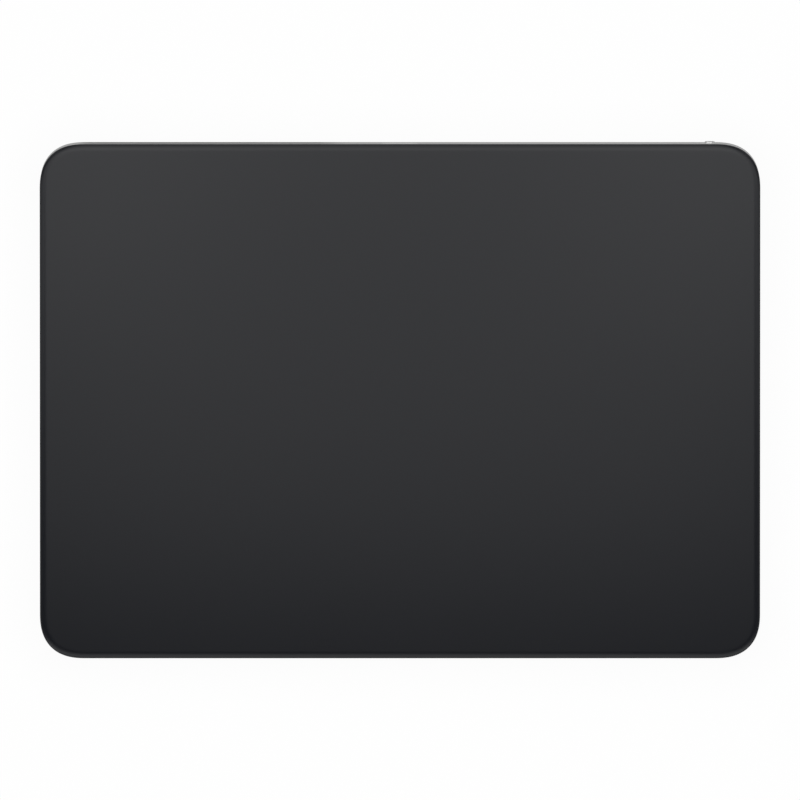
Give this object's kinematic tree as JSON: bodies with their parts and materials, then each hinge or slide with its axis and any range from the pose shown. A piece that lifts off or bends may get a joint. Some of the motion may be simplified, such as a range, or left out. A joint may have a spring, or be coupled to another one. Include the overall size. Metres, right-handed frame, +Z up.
{
  "type": "desk trackpad",
  "caption": "Low wedge-shaped desk trackpad: rounded black glass touch plate on sprung arms over a silver metal tray with a charging port, a power slide switch and rubber feet.",
  "frame": {"origin": "on the desk, under the middle of the tray's footprint", "axes": "+X to the user's right along the long side, +Y away from the user towards the port, +Z up from the desk"},
  "size_m": [0.16, 0.115, 0.0108],
  "materials": {
    "silver_aluminium": "fine blasted, clear anodised",
    "black_glass": "matte etched glass, black behind",
    "foot_rubber": "matte",
    "black_film": "matte adhesive film",
    "board": "solder mask",
    "black_plastic": "moulded",
    "steel": "rolled sheet",
    "core_steel": "dark laminated steel",
    "copper": "enamelled copper winding",
    "gold": "gold plated",
    "amber_film": "polyimide film",
    "gel": "soft silicone gel",
    "pouch": "wrapped pouch cell"
  },
  "bodies": {
    "base": {"enclosure": "silver_aluminium", "bottom_cover": "silver_aluminium", "cover_bond": "black_film", "foot_front_left": "foot_rubber", "foot_front_right": "foot_rubber", "foot_rear_left": "foot_rubber", "foot_rear_right": "foot_rubber", "flexure_front_left": "steel", "flexure_front_right": "steel", "flexure_rear_left": "steel", "flexure_rear_right": "steel", "strain_gauges": "amber_film", "flexure_screws": "steel", "haptic_frame": "steel", "haptic_core_left": "core_steel", "haptic_core_right": "core_steel", "haptic_coil_left": "copper", "haptic_coil_right": "copper", "haptic_screws": "steel", "haptic_lead": "amber_film", "battery_cell_left": "pouch", "battery_cell_right": "pouch", "battery_tape": "black_film", "battery_tabs": "steel", "battery_board": "board", "battery_lead": "amber_film", "logic_board": "board", "processor_chip": "black_plastic", "radio_shield": "steel", "charger_chip": "black_plastic", "driver_chip": "black_plastic", "antenna": "gold", "board_sockets": "black_plastic", "board_screws": "steel", "touch_lead": "amber_film", "port_shell": "steel", "port_tongue": "black_plastic", "port_contacts": "gold", "switch_body": "steel", "switch_board": "board", "switch_socket": "black_plastic", "switch_screw": "steel", "switch_lead": "amber_film"},
    "suspension": {"gel_pad_front_left": "gel", "gel_pad_front_right": "gel", "gel_pad_rear_left": "gel", "gel_pad_rear_right": "gel"},
    "touch_plate": {"glass": "black_glass", "glass_bond": "black_film", "sensor_board": "board", "touch_controller": "black_plastic", "touch_connector": "black_plastic", "support_plate": "steel", "armature": "core_steel", "armature_screws": "steel"},
    "power_switch": {"switch_knob": "silver_aluminium", "switch_slider": "black_plastic"}
  },
  "joints": [
    {"name": "plate_press", "type": "slide", "parent": "base", "child": "suspension", "axis": [0, 0.0524, -0.9986], "range_m": [0, 0.00025], "stiffness_N_per_m": 8000, "springref_m": -0.0005, "deforming": ["flexure_front_left", "flexure_front_right", "flexure_rear_left", "flexure_rear_right", "touch_lead"]},
    {"name": "plate_haptic_shift", "type": "slide", "parent": "suspension", "child": "touch_plate", "axis": [1, 0, 0], "range_m": [-0.0002, 0.0002], "stiffness_N_per_m": 15000},
    {"name": "power_switch_slide", "type": "slide", "parent": "base", "child": "power_switch", "axis": [1, 0, 0], "range_m": [-0.0019, 0]}
  ]
}
